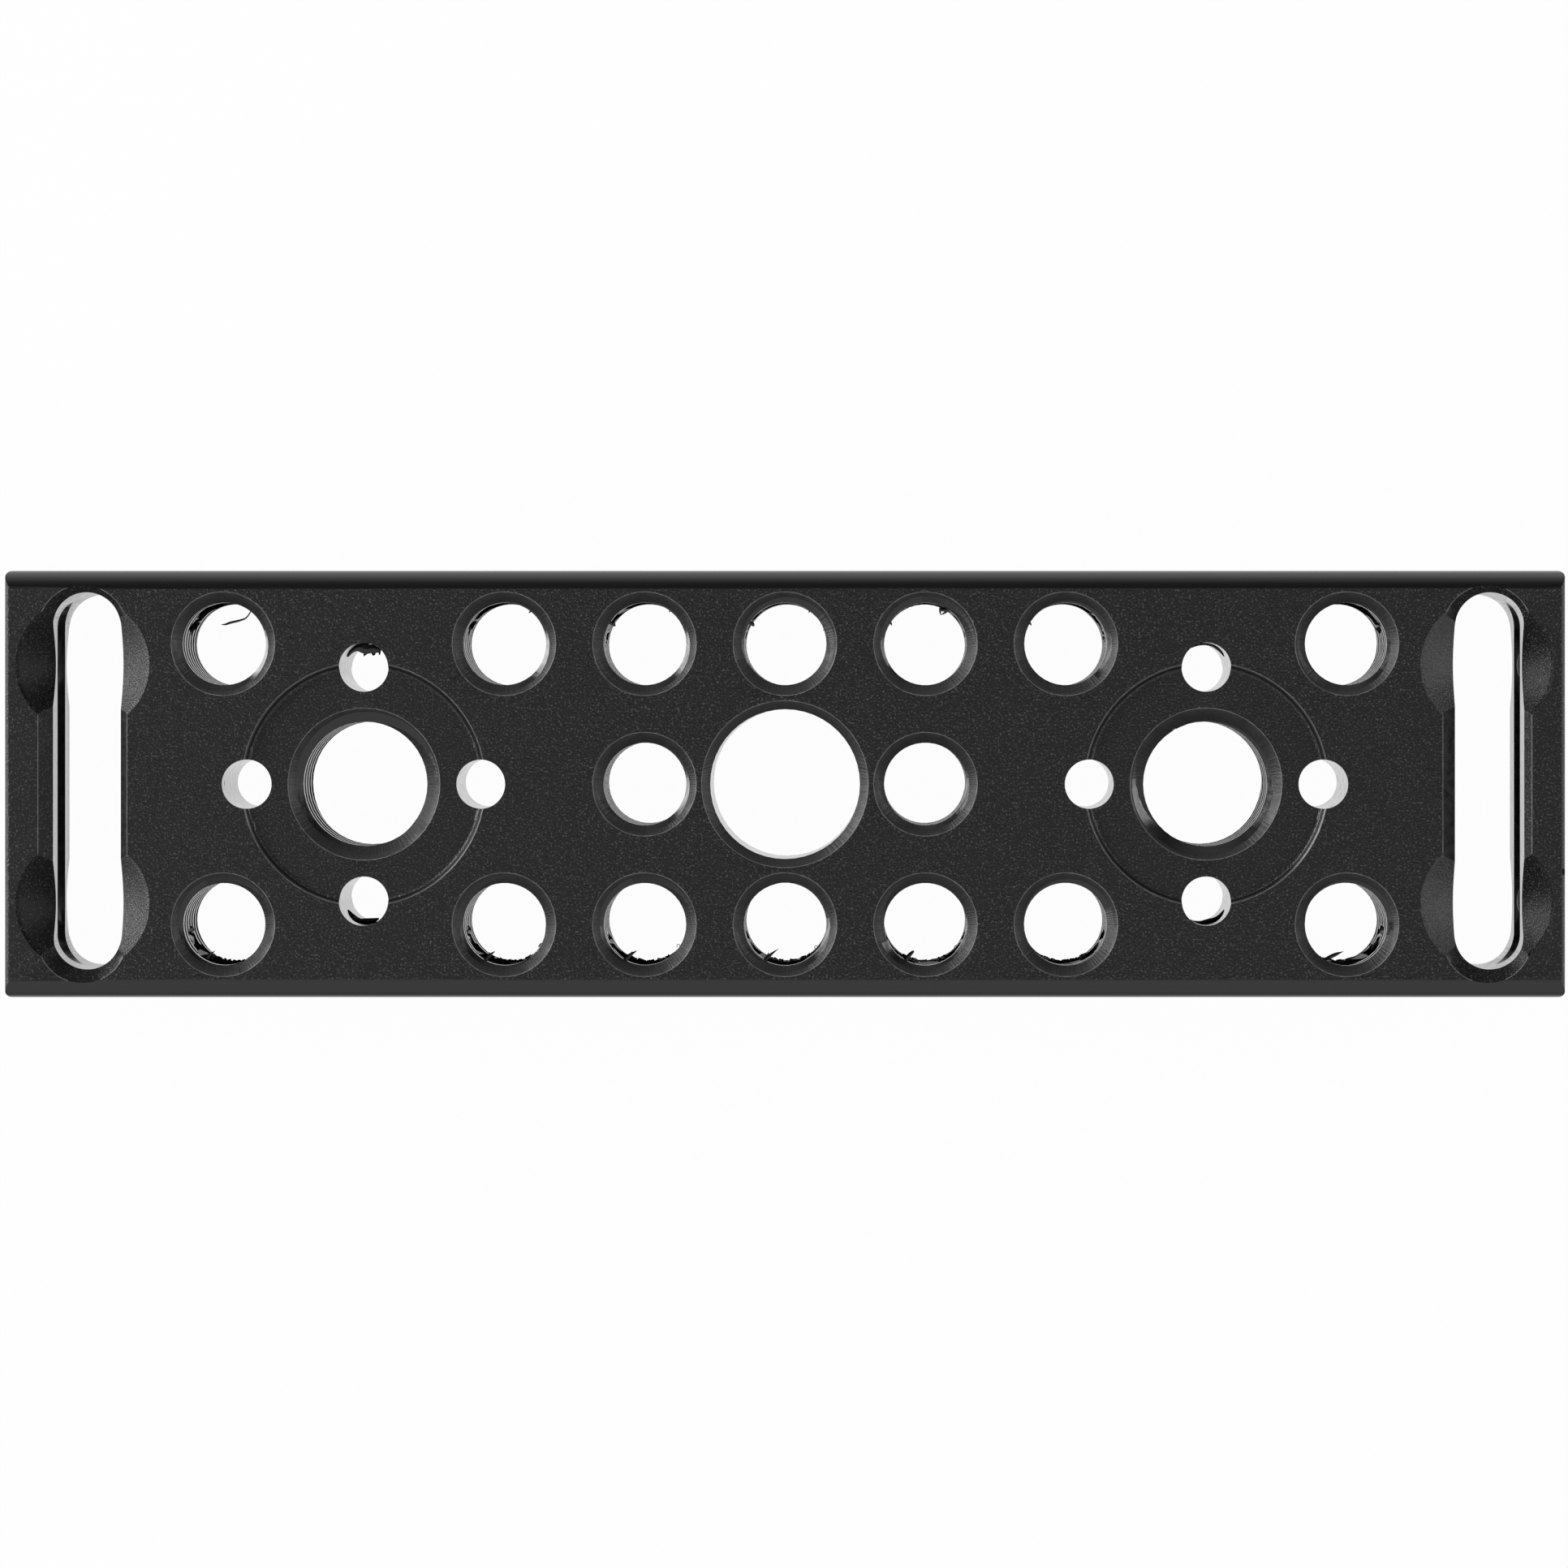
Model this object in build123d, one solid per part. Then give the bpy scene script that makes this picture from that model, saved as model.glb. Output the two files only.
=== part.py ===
from build123d import *
import math
import os

# Tripod riser block: one flat bar of aluminium, drilled, tapped and slotted on all six sides.
# X runs along the bar, Y across it and Z up through its thickness, in millimetres.
# The origin is the middle of the bottom face, on which the bar rests.
# Top and bottom are the same, so the block can be screwed down either way up.

# The bar
length = 100.0
width = 27.4
thickness = 9.4
corner_radius = 0.4
long_edge_radius = 1.2
end_edge_radius = 0.35
cut_past = 1.0

# Quarter-inch tapped holes, 20 threads to the inch, on a square grid
pitch = 9.0
row_margin = 4.7
small_bore = 5.3
small_chamfer = 0.675
least_web = 0.3

# The same thread in the long sides, blind. The drill is a little smaller than the row holes,
# so it enters them inside their walls, and its 118 degree tip ends in them.
side_bore = 5.2
side_hole_depth = 4.8
drill_tip_angle = 118.0

# Three-eighths tapped holes, 16 threads to the inch, each in a shallow turned recess
columns_from_slot_to_large_hole = 2
large_bore = 8.0
large_chamfer = 0.875
recess_diameter = 15.64
recess_depth = 0.4
recess_edge_break = 0.1
recess_wall_run = 0.17
recess_floor_radius = 0.25

# Plain holes for the locating pins, four round each three-eighths hole
pin_hole = 3.15
pin_hole_count = 4
pin_circle = 15.0

# Plain bore at the middle
centre_bore = 9.6
centre_chamfer = 0.55

# Slots across both ends. The slot itself sits a little off the centre of its own chamfer.
slot_width = 4.4
slot_side_wall = 1.6
slot_end_margin = 5.0
slot_chamfer = 0.65
slot_shift_x = 0.2
slot_shift_y = 0.2
chamfer_overcut = 0.4

# Cone seats for flat-head screws, two on each slot, on both faces and on the end face
seat_cone = 8.4
seat_rim = 8.6
seat_rim_depth = 0.1
seat_from_slot_end = 4.45
end_seat_land = 0.5

# Slots in the end faces, which open into the slots across the ends
end_slot_height = 3.6
end_slot_short_of_slot = 0.35
end_slot_chamfer = 0.6

# Places that follow from the sizes above
middle = thickness / 2
mid_plane = Plane.XY.offset(middle)
both_sides = (-1, 1)
slot_column = math.floor((length / 2 - slot_end_margin) / pitch)
slot_x = slot_column * pitch
large_hole_x = (slot_column - columns_from_slot_to_large_hole) * pitch
row_y = width / 2 - row_margin
slot_length = width - 2 * slot_side_wall
seat_y = slot_length / 2 - seat_from_slot_end
end_slot_length = slot_length - 2 * end_slot_short_of_slot
end_seat_cone = min(seat_cone, thickness - 2 * end_seat_land)


# A solid turned about Z from a closed profile of (radius, height) points.
def turned(points):
    return revolve(Plane.XZ * make_face(Polyline(*points, close=True)), Axis.Z)


# The square of metal outside the round of one upright corner.
def corner_waste(side_x, side_y):
    centre_x = side_x * (length / 2 - corner_radius)
    centre_y = side_y * (width / 2 - corner_radius)
    square = corner_radius + cut_past
    middle_of_square = Pos(centre_x + side_x * square / 2, centre_y + side_y * square / 2)
    outline = middle_of_square * Rectangle(square, square) - Pos(centre_x, centre_y) * Circle(corner_radius)
    return extrude(Pos(0, 0, -cut_past) * outline, amount=thickness + 2 * cut_past)


# A cutter with its twin mirrored to the bottom face.
def on_both_faces(cutter):
    return [cutter, mirror(cutter, about=mid_plane)]


# A through hole with a 45 degree chamfer at each face, or at a floor that lies deeper.
def chamfered_hole(bore, chamfer, floor_depth=0.0):
    bore_r = bore / 2
    mouth_r = bore_r + chamfer + floor_depth + cut_past
    chamfer_end = floor_depth + chamfer
    return turned([
        (0, -cut_past),
        (mouth_r, -cut_past),
        (bore_r, chamfer_end),
        (bore_r, thickness - chamfer_end),
        (mouth_r, thickness + cut_past),
        (0, thickness + cut_past),
    ])


# The shallow recess round a three-eighths hole: flat floor, rounded corner, sloped wall, broken edge.
def turned_recess():
    rim_r = recess_diameter / 2
    floor_r = rim_r - recess_edge_break - recess_wall_run
    floor_z = thickness - recess_depth
    profile = Polyline(
        (0, floor_z),
        (floor_r, floor_z),
        (rim_r - recess_edge_break, thickness - recess_edge_break),
        (rim_r, thickness),
        (rim_r + cut_past, thickness + cut_past),
        (0, thickness + cut_past),
        close=True,
    )
    face = make_face(profile)
    floor_corner = face.vertices().sort_by_distance((floor_r, floor_z, 0))[0]
    face = fillet(floor_corner, recess_floor_radius)
    return revolve(Plane.XZ * face, Axis.Z)


# A blind tapped hole, which enters along Z from a face at height zero.
def blind_hole():
    bore_r = side_bore / 2
    tip = bore_r / math.tan(math.radians(drill_tip_angle / 2))
    return turned([
        (0, -cut_past),
        (bore_r + small_chamfer + cut_past, -cut_past),
        (bore_r, small_chamfer),
        (bore_r, side_hole_depth),
        (0, side_hole_depth + tip),
    ])


# A 90 degree cone seat that opens along Z at height zero.
def cone_seat(cone):
    cone_r = cone / 2
    return turned([(0, -cone_r), (cone_r + cut_past, cut_past), (0, cut_past)])


# The flatter cone that breaks the edge of a seat, which runs wider than the seat itself.
def seat_edge_break():
    rim_r = seat_rim / 2
    inner_r = seat_cone / 2 - seat_rim_depth
    run_per_rise = (rim_r - inner_r) / seat_rim_depth
    return turned([
        (0, -seat_rim_depth),
        (inner_r, -seat_rim_depth),
        (rim_r + run_per_rise * cut_past, cut_past),
        (0, cut_past),
    ])


# An obround whose long side runs along the plane's X, cut down from the plane.
def slot_cut(plane, long_side, short_side, depth):
    outline = plane.offset(cut_past) * SlotOverall(long_side, short_side)
    return extrude(outline, amount=-(depth + cut_past))


# A 45 degree chamfer round an obround of this size, cut a little deeper than the chamfer shows.
def obround_chamfer(plane, long_side, short_side, chamfer, overcut):
    grown = 2 * (chamfer + cut_past)
    outline = plane.offset(cut_past) * SlotOverall(long_side + grown, short_side + grown)
    return extrude(outline, amount=-(cut_past + chamfer + overcut), taper=45)


# A grid hole is left out where it would cut into a recess, the centre bore or a screw seat.
def grid_hole_fits(x, y):
    hole_r = small_bore / 2 + small_chamfer + least_web
    clear_of = [(0, 0, centre_bore / 2 + centre_chamfer)]
    for side in both_sides:
        clear_of.append((side * large_hole_x, 0, recess_diameter / 2))
        clear_of.append((side * slot_x, seat_y, seat_rim / 2))
        clear_of.append((side * slot_x, -seat_y, seat_rim / 2))
    return all(math.hypot(x - cx, y - cy) >= hole_r + r for cx, cy, r in clear_of)


# The bar, with rounded long edges and a light break round the end faces
side_view = Plane.YZ * Pos(0, middle) * RectangleRounded(width, thickness, long_edge_radius)
front_view = Plane.XZ * Pos(0, middle) * RectangleRounded(length, thickness, end_edge_radius)
bar = extrude(side_view, amount=length, both=True)
bar &= extrude(front_view, amount=width, both=True)

cutters = []

# What lies outside the round of each upright corner
for side_x in both_sides:
    for side_y in both_sides:
        cutters.append(corner_waste(side_x, side_y))

# Grid of quarter-inch holes between the two end slots
grid_columns = range(1 - slot_column, slot_column)
for column in grid_columns:
    for y in (-row_y, 0, row_y):
        x = column * pitch
        if grid_hole_fits(x, y):
            cutters.append(Pos(x, y) * chamfered_hole(small_bore, small_chamfer))

# Side holes, one at each column of the grid, from both long sides
for column in grid_columns:
    for side in both_sides:
        mouth = Plane((column * pitch, side * width / 2, middle), x_dir=(1, 0, 0), z_dir=(0, -side, 0))
        cutters.append(mouth * blind_hole())

# Three-eighths holes with their recesses and pin holes
pin_cutter = Pos(0, 0, middle) * Cylinder(pin_hole / 2, thickness + 2 * cut_past)
for side in both_sides:
    centre = Pos(side * large_hole_x, 0)
    cutters.append(centre * chamfered_hole(large_bore, large_chamfer, recess_depth))
    for recess in on_both_faces(turned_recess()):
        cutters.append(centre * recess)
    for place in PolarLocations(pin_circle / 2, pin_hole_count):
        cutters.append(centre * place * pin_cutter)

# Centre bore
cutters.append(chamfered_hole(centre_bore, centre_chamfer))

# Slots across the ends, their chamfers and seats, and the slots that enter from the end faces
slot_overcut = chamfer_overcut + max(slot_shift_x, slot_shift_y)
for side in both_sides:
    rim_plane = Plane((side * slot_x, 0, thickness), x_dir=(0, 1, 0), z_dir=(0, 0, 1))
    rim = obround_chamfer(rim_plane, slot_length, slot_width, slot_chamfer, slot_overcut)
    cutters += on_both_faces(rim)
    cut_x = side * slot_x + slot_shift_x
    cut_plane = Plane((cut_x, slot_shift_y, thickness), x_dir=(0, 1, 0), z_dir=(0, 0, 1))
    cutters.append(slot_cut(cut_plane, slot_length, slot_width, thickness + cut_past))
    for y in (-seat_y, seat_y):
        on_top = Pos(side * slot_x, y, thickness)
        cutters += on_both_faces(on_top * cone_seat(seat_cone))
        cutters += on_both_faces(on_top * seat_edge_break())

    end_plane = Plane((side * length / 2, 0, middle), x_dir=(0, 1, 0), z_dir=(side, 0, 0))
    end_slot = (end_slot_length, end_slot_height)
    cutters.append(obround_chamfer(end_plane, *end_slot, end_slot_chamfer, chamfer_overcut))
    cutters.append(slot_cut(end_plane, *end_slot, length / 2 - side * cut_x))
    for y in (-seat_y, seat_y):
        cutters.append(end_plane * Pos(y, 0) * cone_seat(end_seat_cone))

# Cut one at a time, because many of the cutters meet each other inside the bar
riser_block = bar
for cutter in cutters:
    riser_block -= cutter
riser_block = riser_block.solid()
riser_block.label = "riser_block"

os.makedirs("parts", exist_ok=True)
export_step(riser_block, "parts/riser_block.step")
print("riser block:", round(riser_block.volume, 1), "mm3, valid", riser_block.is_valid)
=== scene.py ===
# Tripod riser block: one bar of black anodised aluminium, lying on a pale table, seen from above.
import bmesh
import bpy
import math
import random
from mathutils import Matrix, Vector


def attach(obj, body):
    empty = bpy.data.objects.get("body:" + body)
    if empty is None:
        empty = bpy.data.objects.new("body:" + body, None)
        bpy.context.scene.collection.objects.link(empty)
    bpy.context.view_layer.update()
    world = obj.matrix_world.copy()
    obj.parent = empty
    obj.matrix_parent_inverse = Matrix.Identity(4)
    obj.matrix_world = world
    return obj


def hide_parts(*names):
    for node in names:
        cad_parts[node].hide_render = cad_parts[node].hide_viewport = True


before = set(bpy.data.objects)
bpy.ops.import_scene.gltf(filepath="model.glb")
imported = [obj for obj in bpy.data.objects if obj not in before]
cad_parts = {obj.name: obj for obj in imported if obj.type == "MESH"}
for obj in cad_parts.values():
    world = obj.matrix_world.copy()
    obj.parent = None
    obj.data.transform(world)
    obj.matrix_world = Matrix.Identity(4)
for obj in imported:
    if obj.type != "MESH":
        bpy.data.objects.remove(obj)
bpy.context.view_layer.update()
mm = 0.001
print("frame loaded")


# Small helpers

def toLinear(hexColour):
    channels = [int(hexColour[i:i + 2], 16) / 255 for i in (1, 3, 5)]
    linear = [c / 12.92 if c <= 0.04045 else ((c + 0.055) / 1.055) ** 2.4 for c in channels]
    return (*linear, 1.0)


def addNode(tree, kind, inputs=None, **settings):  # inputs: socket name or number -> value or socket
    node = tree.nodes.new(kind)
    for name, value in settings.items():
        setattr(node, name, value)
    for name, value in (inputs or {}).items():
        if isinstance(value, bpy.types.NodeSocket):
            tree.links.new(value, node.inputs[name])
        else:
            node.inputs[name].default_value = value
    return node


def newObject(name, mesh):
    made = bpy.data.objects.new(name, mesh)
    bpy.context.scene.collection.objects.link(made)
    return made


def plainMesh(thing, name):  # what the modifiers make of an object, as a mesh of its own
    bpy.context.view_layer.update()
    evaluated = thing.evaluated_get(bpy.context.evaluated_depsgraph_get())
    mesh = bpy.data.meshes.new_from_object(evaluated)
    mesh.name = name
    return mesh


def between(value, limits):
    return limits[0] < value < limits[1]


# Materials

noiseSpan = (0.3, 0.7)  # nearly all values of a noise texture lie between these


def emptyMaterial(name):
    material = bpy.data.materials.new(name)
    material.use_nodes = True
    material.node_tree.nodes.clear()
    return material


# Black anodised aluminium, bead-blasted first. The blasting leaves a fine salt-like grain that
# glitters where a lamp is mirrored, and a dull charcoal veil over the black dye elsewhere.
def makeBeadBlasted(name, finish):
    material = emptyMaterial(name)
    tree = material.node_tree
    place = addNode(tree, "ShaderNodeTexCoord").outputs["Object"]
    grain = addNode(tree, "ShaderNodeTexNoise", {
        "Vector": place, "Scale": 1 / (finish["dentSize"] * mm),
        "Detail": 2.0, "Roughness": 0.6}).outputs["Fac"]
    mottle = addNode(tree, "ShaderNodeTexNoise", {
        "Vector": place, "Scale": 1 / (finish["mottleSize"] * mm), "Detail": 2.0}).outputs["Fac"]
    crowns = addNode(tree, "ShaderNodeMapRange", {
        "Value": grain, "From Min": finish["crowns"][0], "From Max": finish["crowns"][1],
        "To Min": 0.0, "To Max": 1.0}).outputs[0]
    tone = addNode(tree, "ShaderNodeMix", {
        0: crowns, 6: toLinear(finish["dye"]), 7: toLinear(finish["paleGrain"])},
        data_type="RGBA").outputs[2]
    shade = addNode(tree, "ShaderNodeMapRange", {
        "Value": mottle, "From Min": noiseSpan[0], "From Max": noiseSpan[1],
        "To Min": 1 - finish["mottle"], "To Max": 1 + finish["mottle"]}).outputs[0]
    colour = addNode(tree, "ShaderNodeVectorMath", {0: tone, 1: shade}, operation="MULTIPLY").outputs[0]
    rough = addNode(tree, "ShaderNodeMapRange", {
        "Value": grain, "From Min": noiseSpan[0], "From Max": finish["smoothestAt"],
        "To Min": finish["roughness"] + finish["dullDents"],
        "To Max": finish["roughness"] - finish["smoothCrowns"]}).outputs[0]
    dents = addNode(tree, "ShaderNodeBump", {
        "Height": grain, "Strength": 1.0, "Distance": finish["dentDepth"] * mm}).outputs[0]
    surface = addNode(tree, "ShaderNodeBsdfPrincipled", {
        "Base Color": colour, "Roughness": rough, "Normal": dents, "Metallic": 0.0,
        "IOR": finish["filmIor"]})
    addNode(tree, "ShaderNodeOutputMaterial", {"Surface": surface.outputs[0]})
    return material


blasting = {
    "dye": "#040405",
    "paleGrain": "#58585a",  # the crowns between two dents take less dye
    "crowns": (0.56, 0.7),   # heights of the grain where the pale crowns begin and are full
    "dentSize": 0.125,       # mm; real bead dents are about 0.06, drawn coarser so that they show
    "dentDepth": 0.05,       # mm; deeper than real for the same reason
    "mottleSize": 1.6,       # mm; slow change of tone across the dyed film
    "mottle": 0.1,           # share by which that tone changes
    "roughness": 0.38,
    "dullDents": 0.05,       # added to the roughness in the dents
    "smoothCrowns": 0.1,     # taken from it on the crowns
    "smoothestAt": 0.75,     # height of the grain where it is smoothest
    "filmIor": 1.62,         # sealed oxide film on the metal
}
# the inner half of each seat, looking out towards its end, gets a brighter copy of the blasted finish with
# coarser grain: painted sheen;
# the outer half gets an even, darker copy: painted shade. The film IOR sets most of the difference, and grain
# and roughness the rest
coarseLitSeat = {
    **blasting, "paleGrain": "#4c4c4e", "dentSize": 0.12, "dentDepth": 0.08,
    "roughness": 0.42, "filmIor": 1.8,
}
evenShadedSeat = {
    **blasting, "paleGrain": "#5c5c5e", "dentSize": 0.1, "dentDepth": 0.03,
    "roughness": 0.34, "filmIor": 1.34,
}


# The long sides and their rounds are drawn, not blasted: a satin black with lines along the bar
# too fine to count, smooth enough that the round reads as one soft band of light.
def makeDrawnSatin(name, finish):
    material = emptyMaterial(name)
    tree = material.node_tree
    place = addNode(tree, "ShaderNodeTexCoord").outputs["Object"]
    across = 1 / (finish["lineSpacing"] * mm)
    along = 1 / (finish["lineLength"] * mm)
    stretched = addNode(tree, "ShaderNodeMapping", {
        "Vector": place, "Scale": (along, across, across)}).outputs[0]
    lines = addNode(tree, "ShaderNodeTexNoise", {
        "Vector": stretched, "Scale": 1.0, "Detail": 2.0}).outputs["Fac"]
    rough = addNode(tree, "ShaderNodeMapRange", {
        "Value": lines, "From Min": noiseSpan[0], "From Max": noiseSpan[1],
        "To Min": finish["roughness"] - finish["smoother"],
        "To Max": finish["roughness"] + finish["duller"]}).outputs[0]
    ridges = addNode(tree, "ShaderNodeBump", {
        "Height": lines, "Strength": finish["lineStrength"],
        "Distance": finish["lineDepth"] * mm}).outputs[0]
    surface = addNode(tree, "ShaderNodeBsdfPrincipled", {
        "Base Color": toLinear(finish["dye"]), "Roughness": rough, "Normal": ridges, "Metallic": 0.0,
        "IOR": finish["filmIor"]})
    addNode(tree, "ShaderNodeOutputMaterial", {"Surface": surface.outputs[0]})
    return material


drawing = {
    "dye": "#121213",
    "lineSpacing": 0.05,   # mm across the lines; real die lines are finer still
    "lineLength": 6.0,     # mm along the bar
    "lineDepth": 0.01,     # mm
    "lineStrength": 0.08,  # share of that depth that shows
    "roughness": 0.22,
    "smoother": 0.04,      # the most that a line takes from the roughness
    "duller": 0.05,        # the most that it adds
    "filmIor": 1.7,
}


# The same black film over marks of the cutting tool: smoother than the blasted faces, so that at a
# glancing angle it mirrors the pale table. The countersink leaves fine chatter lines that run out
# from each hole, the tap a polished flank, and the reamer and end mill an even wall.
def makeCut(name, finish):
    material = emptyMaterial(name)
    tree = material.node_tree
    place = addNode(tree, "ShaderNodeTexCoord").outputs["Object"]
    half = finish["holeSpacing"] * mm / 2
    fromHole = addNode(tree, "ShaderNodeVectorMath", {
        0: place, 1: (half, half, 1.0), 2: (-half, -half, -1.0)}, operation="WRAP").outputs[0]
    flat = addNode(tree, "ShaderNodeVectorMath", {0: fromHole, 1: (1, 1, 0)}, operation="MULTIPLY").outputs[0]
    outward = addNode(tree, "ShaderNodeVectorMath", {0: flat}, operation="NORMALIZE").outputs[0]
    chatter = addNode(tree, "ShaderNodeTexNoise", {
        "Vector": outward, "Scale": finish["chatterRadius"] / finish["chatterWidth"],
        "Detail": 2.0}).outputs["Fac"]
    smear = addNode(tree, "ShaderNodeTexNoise", {
        "Vector": place, "Scale": 1 / (finish["smearSize"] * mm), "Detail": 2.0}).outputs["Fac"]
    height = addNode(tree, "ShaderNodeSeparateXYZ", {0: place}).outputs[2]
    turns = addNode(tree, "ShaderNodeMath", {
        0: height, 1: 2 * math.pi / (finish["ringSpacing"] * mm)}, operation="MULTIPLY").outputs[0]
    rings = addNode(tree, "ShaderNodeMath", {0: turns}, operation="SINE").outputs[0]
    lines = addNode(tree, "ShaderNodeMath", {
        0: chatter, 1: finish["chatter"]}, operation="MULTIPLY").outputs[0]
    turned = addNode(tree, "ShaderNodeMath", {
        0: rings, 1: finish["rings"], 2: lines}, operation="MULTIPLY_ADD").outputs[0]
    grain = addNode(tree, "ShaderNodeTexNoise", {
        "Vector": place, "Scale": 1 / (finish["dentSize"] * mm),
        "Detail": 2.0, "Roughness": 0.6}).outputs["Fac"]
    marks = addNode(tree, "ShaderNodeMath", {
        0: grain, 1: finish["grain"], 2: turned}, operation="MULTIPLY_ADD").outputs[0]
    crowns = addNode(tree, "ShaderNodeMapRange", {
        "Value": grain, "From Min": finish["crowns"][0], "From Max": finish["crowns"][1],
        "To Min": 0.0, "To Max": finish["grain"] * finish["paleShare"]}).outputs[0]
    colour = addNode(tree, "ShaderNodeMix", {
        0: crowns, 6: toLinear(finish["dye"]), 7: toLinear(finish["paleGrain"])},
        data_type="RGBA").outputs[2]
    rough = addNode(tree, "ShaderNodeMapRange", {
        "Value": smear, "From Min": noiseSpan[0], "From Max": noiseSpan[1],
        "To Min": finish["roughness"] - finish["smoother"],
        "To Max": finish["roughness"] + finish["duller"]}).outputs[0]
    feed = addNode(tree, "ShaderNodeBump", {
        "Height": marks, "Strength": 0.5, "Distance": finish["markDepth"] * mm}).outputs[0]
    surface = addNode(tree, "ShaderNodeBsdfPrincipled", {
        "Base Color": colour, "Roughness": rough, "Normal": feed, "Metallic": 0.0,
        "IOR": finish["filmIor"]})
    addNode(tree, "ShaderNodeOutputMaterial", {"Surface": surface.outputs[0]})
    return material


cutMarks = {
    "dye": "#0d0d0e",
    "paleGrain": "#2a2a2c",
    "crowns": (0.4, 0.62),   # heights of the grain where the pale crowns begin and are full
    "paleShare": 0.25,       # how pale they are for each unit of grain
    "holeSpacing": 9.0,      # mm; every tapped hole stands on this grid, so the chatter centres on it
    "chatterWidth": 0.12,    # mm between two chatter lines
    "chatterRadius": 3.0,    # mm from the middle of a hole, where that width is measured
    "ringSpacing": 0.18,     # mm; feed marks of the drill and reamer
    "dentSize": 0.1,         # mm; what the beads reach of a chamfer
    "smearSize": 0.5,        # mm; patches where the tool rubbed
    "markDepth": 0.012,      # mm
    "smoother": 0.04,        # the most that rubbing takes from the roughness
    "duller": 0.06,          # the most that it adds
    # how strong each kind of mark is
    "chatter": 0.0,
    "rings": 0.0,
    "grain": 0.0,
}


# Along the sharp rims the blasting has worn the edge and the film took the dye badly in patches. The thin
# paler line painted round every chamfer also stands in for the highlight the rims catch, so it is part wear
# and part painted highlight.
def makeWornRimHighlight(name, finish):
    material = emptyMaterial(name)
    tree = material.node_tree
    place = addNode(tree, "ShaderNodeTexCoord").outputs["Object"]
    wear = addNode(tree, "ShaderNodeTexNoise", {
        "Vector": place, "Scale": 1 / (finish["patch"] * mm),
        "Detail": 3.0, "Roughness": 0.7}).outputs["Fac"]
    share = addNode(tree, "ShaderNodeMapRange", {
        "Value": wear, "From Min": finish["wornFrom"], "From Max": finish["bareAt"],
        "To Min": 0.0, "To Max": 1.0}).outputs[0]
    colour = addNode(tree, "ShaderNodeMix", {
        0: share, 6: toLinear(finish["film"]), 7: toLinear(finish["bare"])},
        data_type="RGBA").outputs[2]
    pits = addNode(tree, "ShaderNodeBump", {
        "Height": wear, "Strength": 0.4, "Distance": finish["pitDepth"] * mm}).outputs[0]
    surface = addNode(tree, "ShaderNodeBsdfPrincipled", {
        "Base Color": colour, "Roughness": finish["roughness"], "Normal": pits, "Metallic": 0.0,
        "IOR": finish["filmIor"]})
    addNode(tree, "ShaderNodeOutputMaterial", {"Surface": surface.outputs[0]})
    return material


wearingAndHighlight = {
    # film: far paler than the dyed faces on every rim alike, a painted highlight; bare: the patches really
    # worn through
    "film": "#58585b",
    "bare": "#7d7d80",
    "patch": 0.4,      # mm; length of the paler stretches
    "wornFrom": 0.4,   # noise value where the film begins to thin
    "bareAt": 0.65,    # noise value where it is worn through
    "pitDepth": 0.02,  # mm
    "roughness": 0.42,
    "filmIor": 1.6,
}

# every finish of the bar; its place in this list is its material number
finishes = {
    "blasted": makeBeadBlasted("beadBlastedBlackAnodised", blasting),
    "drawn": makeDrawnSatin("drawnSatinBlackAnodised", drawing),
    "countersunk": makeCut("countersunkBlackAnodised", {
        **cutMarks, "filmIor": 1.65, "chatter": 7.0, "roughness": 0.46, "grain": 1.8}),
    "tapped": makeCut("tappedBlackAnodised", {
        **cutMarks, "filmIor": 1.7, "chatter": 0.3, "rings": 0.1, "roughness": 0.2}),
    "reamed": makeCut("reamedBlackAnodised", {
        **cutMarks, "filmIor": 2.1, "rings": 0.05, "roughness": 0.14}),
    "wornRimHighlight": makeWornRimHighlight("wornRimHighlightBlackAnodised", wearingAndHighlight),
    "milled": makeCut("milledBlackAnodised", {
        **cutMarks, "filmIor": 1.65, "chatter": 0.1, "roughness": 0.28, "grain": 0.4}),
    "coarseLitSeat": makeBeadBlasted("coarseLitBlastedBlackAnodised", coarseLitSeat),
    "evenShadedSeat": makeBeadBlasted("fineShadedBlastedBlackAnodised", evenShadedSeat),
}
finishNumbers = {name: number for number, name in enumerate(finishes)}
print("materials made")


# Threads: a helical ridge for each tapped hole, to be cut out of the bar

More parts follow.
